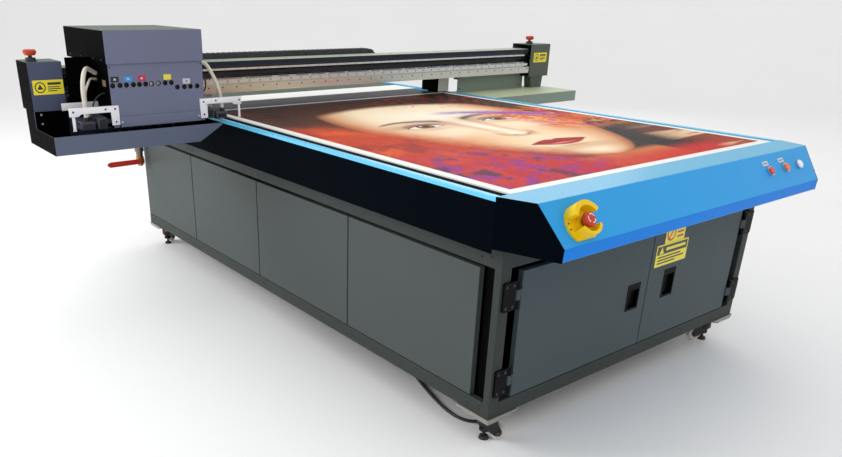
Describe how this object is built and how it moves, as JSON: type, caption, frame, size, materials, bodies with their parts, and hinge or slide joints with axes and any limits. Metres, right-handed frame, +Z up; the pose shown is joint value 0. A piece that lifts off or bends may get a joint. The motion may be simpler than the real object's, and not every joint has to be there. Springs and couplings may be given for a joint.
{
  "type": "flatbed uv printer",
  "caption": "Flatbed UV printer: sheet-metal cabinet on levelling casters, vacuum bed, gantry with side trays and a travelling print carriage with UV lamps.",
  "frame": {"origin": "on the floor, at the middle of the whole machine's width and depth", "axes": "+Z up, +Y from the front control panel to the rear (gantry travel), +X to the right as seen from the front (carriage travel)"},
  "size_m": [3.26, 3.1422, 1.306],
  "materials": {
    "cabinet_paint": "fine textured powder coat",
    "frame_paint": "satin",
    "hinge_black": "matt",
    "plate_zinc": "satin",
    "screw_steel": "satin",
    "bed_aluminium": "anodised",
    "printed_sheet": "printed gloss",
    "deck_paint": "satin",
    "bezel_blue": "satin",
    "skirt_navy": "satin",
    "trim_blue": "satin",
    "rail_steel": "ground",
    "motor_black": "satin",
    "blower_grey": "cast",
    "control_grey": "satin",
    "guard_yellow": "satin",
    "ring_chrome": "polished",
    "valve_brass": "plain",
    "lever_red": "dipped",
    "gland_black": "matt",
    "cord_black": "matt",
    "plug_black": "matt",
    "handle_black": "matt",
    "lens_red": "gloss",
    "lens_orange": "gloss",
    "lens_white": "gloss",
    "estop_red": "satin",
    "caster_black": "satin",
    "wheel_nylon": "satin",
    "screw_ground": "ground",
    "pulley_alu": "machined",
    "beam_alu": "anodised",
    "gantry_paint": "fine textured powder coat",
    "belt_black": "matt",
    "chain_black": "matt",
    "capping_dark": "matt",
    "head_dark": "anodised",
    "lamp_set": "satin"
  },
  "bodies": {
    "base": {"cabinet_frame": "frame_paint", "body_panels": "cabinet_paint", "front_surround": "cabinet_paint", "door_hinges": "hinge_black", "caster_plates": "plate_zinc", "panel_screws": "screw_steel", "bed_table": "bed_aluminium", "printed_board": "printed_sheet", "rear_deck": "deck_paint", "front_bezel": "bezel_blue", "side_skirts": "skirt_navy", "side_trims": "trim_blue", "gantry_rails": "rail_steel", "gantry_drive_motors": "motor_black", "vacuum_blower": "blower_grey", "control_box": "control_grey", "estop_shroud": "guard_yellow", "button_rings": "ring_chrome", "valve_body": "valve_brass", "cord_gland": "gland_black", "power_cord": "cord_black", "power_cord_coil": "cord_black", "power_plug": "plug_black"},
    "door_left": {"door_left": "cabinet_paint", "door_handle_left": "handle_black"},
    "door_right": {"door_right": "cabinet_paint", "door_handle_right": "handle_black"},
    "button_red": {"button_red": "lens_red"},
    "button_orange": {"button_orange": "lens_orange"},
    "button_white": {"button_white": "lens_white"},
    "estop_front": {"estop_front": "estop_red"},
    "estop_left": {"estop_left": "estop_red"},
    "estop_right": {"estop_right": "estop_red"},
    "valve_lever": {"valve_lever": "lever_red"},
    "ball_screw_left": {"ball_screw_left": "screw_ground"},
    "ball_screw_right": {"ball_screw_right": "screw_ground"},
    "belt_pulley_left": {"belt_pulley_left": "pulley_alu"},
    "belt_pulley_right": {"belt_pulley_right": "pulley_alu"},
    "caster_fork_front_left": {"caster_fork_front_left": "caster_black"},
    "caster_wheel_front_left": {"caster_wheel_front_left": "wheel_nylon"},
    "caster_fork_front_right": {"caster_fork_front_right": "caster_black"},
    "caster_wheel_front_right": {"caster_wheel_front_right": "wheel_nylon"},
    "caster_fork_rear_left": {"caster_fork_rear_left": "caster_black"},
    "caster_wheel_rear_left": {"caster_wheel_rear_left": "wheel_nylon"},
    "caster_fork_rear_right": {"caster_fork_rear_right": "caster_black"},
    "caster_wheel_rear_right": {"caster_wheel_rear_right": "wheel_nylon"},
    "gantry": {"gantry_beam": "beam_alu", "beam_cover": "gantry_paint", "gantry_uprights": "beam_alu", "gantry_trays": "gantry_paint", "end_housings": "gantry_paint", "carriage_rails": "rail_steel", "energy_chain": "chain_black", "drive_belt": "belt_black", "capping_station": "capping_dark"},
    "carriage_plate": {"carriage_slide": "beam_alu"},
    "carriage": {"carriage_shell": "gantry_paint", "carriage_hood": "gantry_paint", "print_heads": "head_dark", "uv_lamps": "lamp_set"}
  },
  "joints": [
    {"name": "door_left_hinge", "type": "hinge", "parent": "base", "child": "door_left", "pos_m": [-0.712, -1.3285, 0.42], "axis": [0, 0, -1], "range_deg": [0, 110]},
    {"name": "door_right_hinge", "type": "hinge", "parent": "base", "child": "door_right", "pos_m": [0.712, -1.3285, 0.42], "axis": [0, 0, 1], "range_deg": [0, 110]},
    {"name": "button_red_press", "type": "slide", "parent": "base", "child": "button_red", "axis": [0, 0.7965, -0.6046], "range_m": [0, 0.003], "stiffness_N_per_m": 400, "springref_m": -0.001},
    {"name": "button_orange_press", "type": "slide", "parent": "base", "child": "button_orange", "axis": [0, 0.7965, -0.6046], "range_m": [0, 0.003], "stiffness_N_per_m": 400, "springref_m": -0.001},
    {"name": "button_white_press", "type": "slide", "parent": "base", "child": "button_white", "axis": [0, 0.7965, -0.6046], "range_m": [0, 0.003], "stiffness_N_per_m": 400, "springref_m": -0.001},
    {"name": "estop_front_press", "type": "slide", "parent": "base", "child": "estop_front", "axis": [0, 0.7965, -0.6046], "range_m": [0, 0.005]},
    {"name": "gantry_travel", "type": "slide", "parent": "base", "child": "gantry", "axis": [0, 1, 0], "range_m": [-1.8, 0.62]},
    {"name": "carriage_travel", "type": "slide", "parent": "gantry", "child": "carriage_plate", "axis": [1, 0, 0], "range_m": [0, 2.1], "deforming": ["energy_chain"]},
    {"name": "carriage_lift", "type": "slide", "parent": "carriage_plate", "child": "carriage", "axis": [0, 0, 1], "range_m": [0, 0.08]},
    {"name": "estop_left_press", "type": "slide", "parent": "gantry", "child": "estop_left", "axis": [0, 0, -1], "range_m": [0, 0.005]},
    {"name": "ball_screw_left_spin", "type": "hinge", "parent": "base", "child": "ball_screw_left", "pos_m": [-0.745, 0.1145, 0.792], "axis": [0, 1, 0], "range_deg": [-16300, 5700]},
    {"name": "belt_pulley_left_spin", "type": "hinge", "parent": "gantry", "child": "belt_pulley_left", "pos_m": [-1.55, 0.63825, 1.093], "axis": [0, 0, 1], "range_deg": [-10, 4650]},
    {"name": "estop_right_press", "type": "slide", "parent": "gantry", "child": "estop_right", "axis": [0, 0, -1], "range_m": [0, 0.005]},
    {"name": "ball_screw_right_spin", "type": "hinge", "parent": "base", "child": "ball_screw_right", "pos_m": [0.745, 0.1145, 0.792], "axis": [0, 1, 0], "range_deg": [-16300, 5700]},
    {"name": "belt_pulley_right_spin", "type": "hinge", "parent": "gantry", "child": "belt_pulley_right", "pos_m": [1.55, 0.63825, 1.093], "axis": [0, 0, 1], "range_deg": [-10, 4650]},
    {"name": "valve_lever_turn", "type": "hinge", "parent": "base", "child": "valve_lever", "pos_m": [-0.832, 1.5065, 0.527], "axis": [0, -1, 0], "range_deg": [0, 90]},
    {"name": "caster_swivel_front_left", "type": "hinge", "parent": "base", "child": "caster_fork_front_left", "pos_m": [-0.722, -1.2535, 0.1], "axis": [0, 0, 1], "continuous": true},
    {"name": "caster_roll_front_left", "type": "hinge", "parent": "caster_fork_front_left", "child": "caster_wheel_front_left", "pos_m": [-0.68676, -1.28307, 0.03], "axis": [0.6428, 0.766, 0], "continuous": true},
    {"name": "caster_swivel_front_right", "type": "hinge", "parent": "base", "child": "caster_fork_front_right", "pos_m": [0.722, -1.2535, 0.1], "axis": [0, 0, 1], "continuous": true},
    {"name": "caster_roll_front_right", "type": "hinge", "parent": "caster_fork_front_right", "child": "caster_wheel_front_right", "pos_m": [0.68216, -1.2305, 0.03], "axis": [-0.5, -0.866, 0], "continuous": true},
    {"name": "caster_swivel_rear_left", "type": "hinge", "parent": "base", "child": "caster_fork_rear_left", "pos_m": [-0.722, 1.4965, 0.1], "axis": [0, 0, 1], "continuous": true},
    {"name": "caster_roll_rear_left", "type": "hinge", "parent": "caster_fork_rear_left", "child": "caster_wheel_rear_left", "pos_m": [-0.68676, 1.52607, 0.03], "axis": [-0.6428, 0.766, 0], "continuous": true},
    {"name": "caster_swivel_rear_right", "type": "hinge", "parent": "base", "child": "caster_fork_rear_right", "pos_m": [0.722, 1.4965, 0.1], "axis": [0, 0, 1], "continuous": true},
    {"name": "caster_roll_rear_right", "type": "hinge", "parent": "caster_fork_rear_right", "child": "caster_wheel_rear_right", "pos_m": [0.67877, 1.48077, 0.03], "axis": [0.342, -0.9397, 0], "continuous": true}
  ],
  "couplings": [
    {"joint": "ball_screw_left_spin", "follows": "gantry_travel", "rad_per_m": 157.08},
    {"joint": "ball_screw_right_spin", "follows": "gantry_travel", "rad_per_m": 157.08},
    {"joint": "belt_pulley_left_spin", "follows": "carriage_travel", "rad_per_m": 38.095},
    {"joint": "belt_pulley_right_spin", "follows": "carriage_travel", "rad_per_m": 38.095}
  ]
}
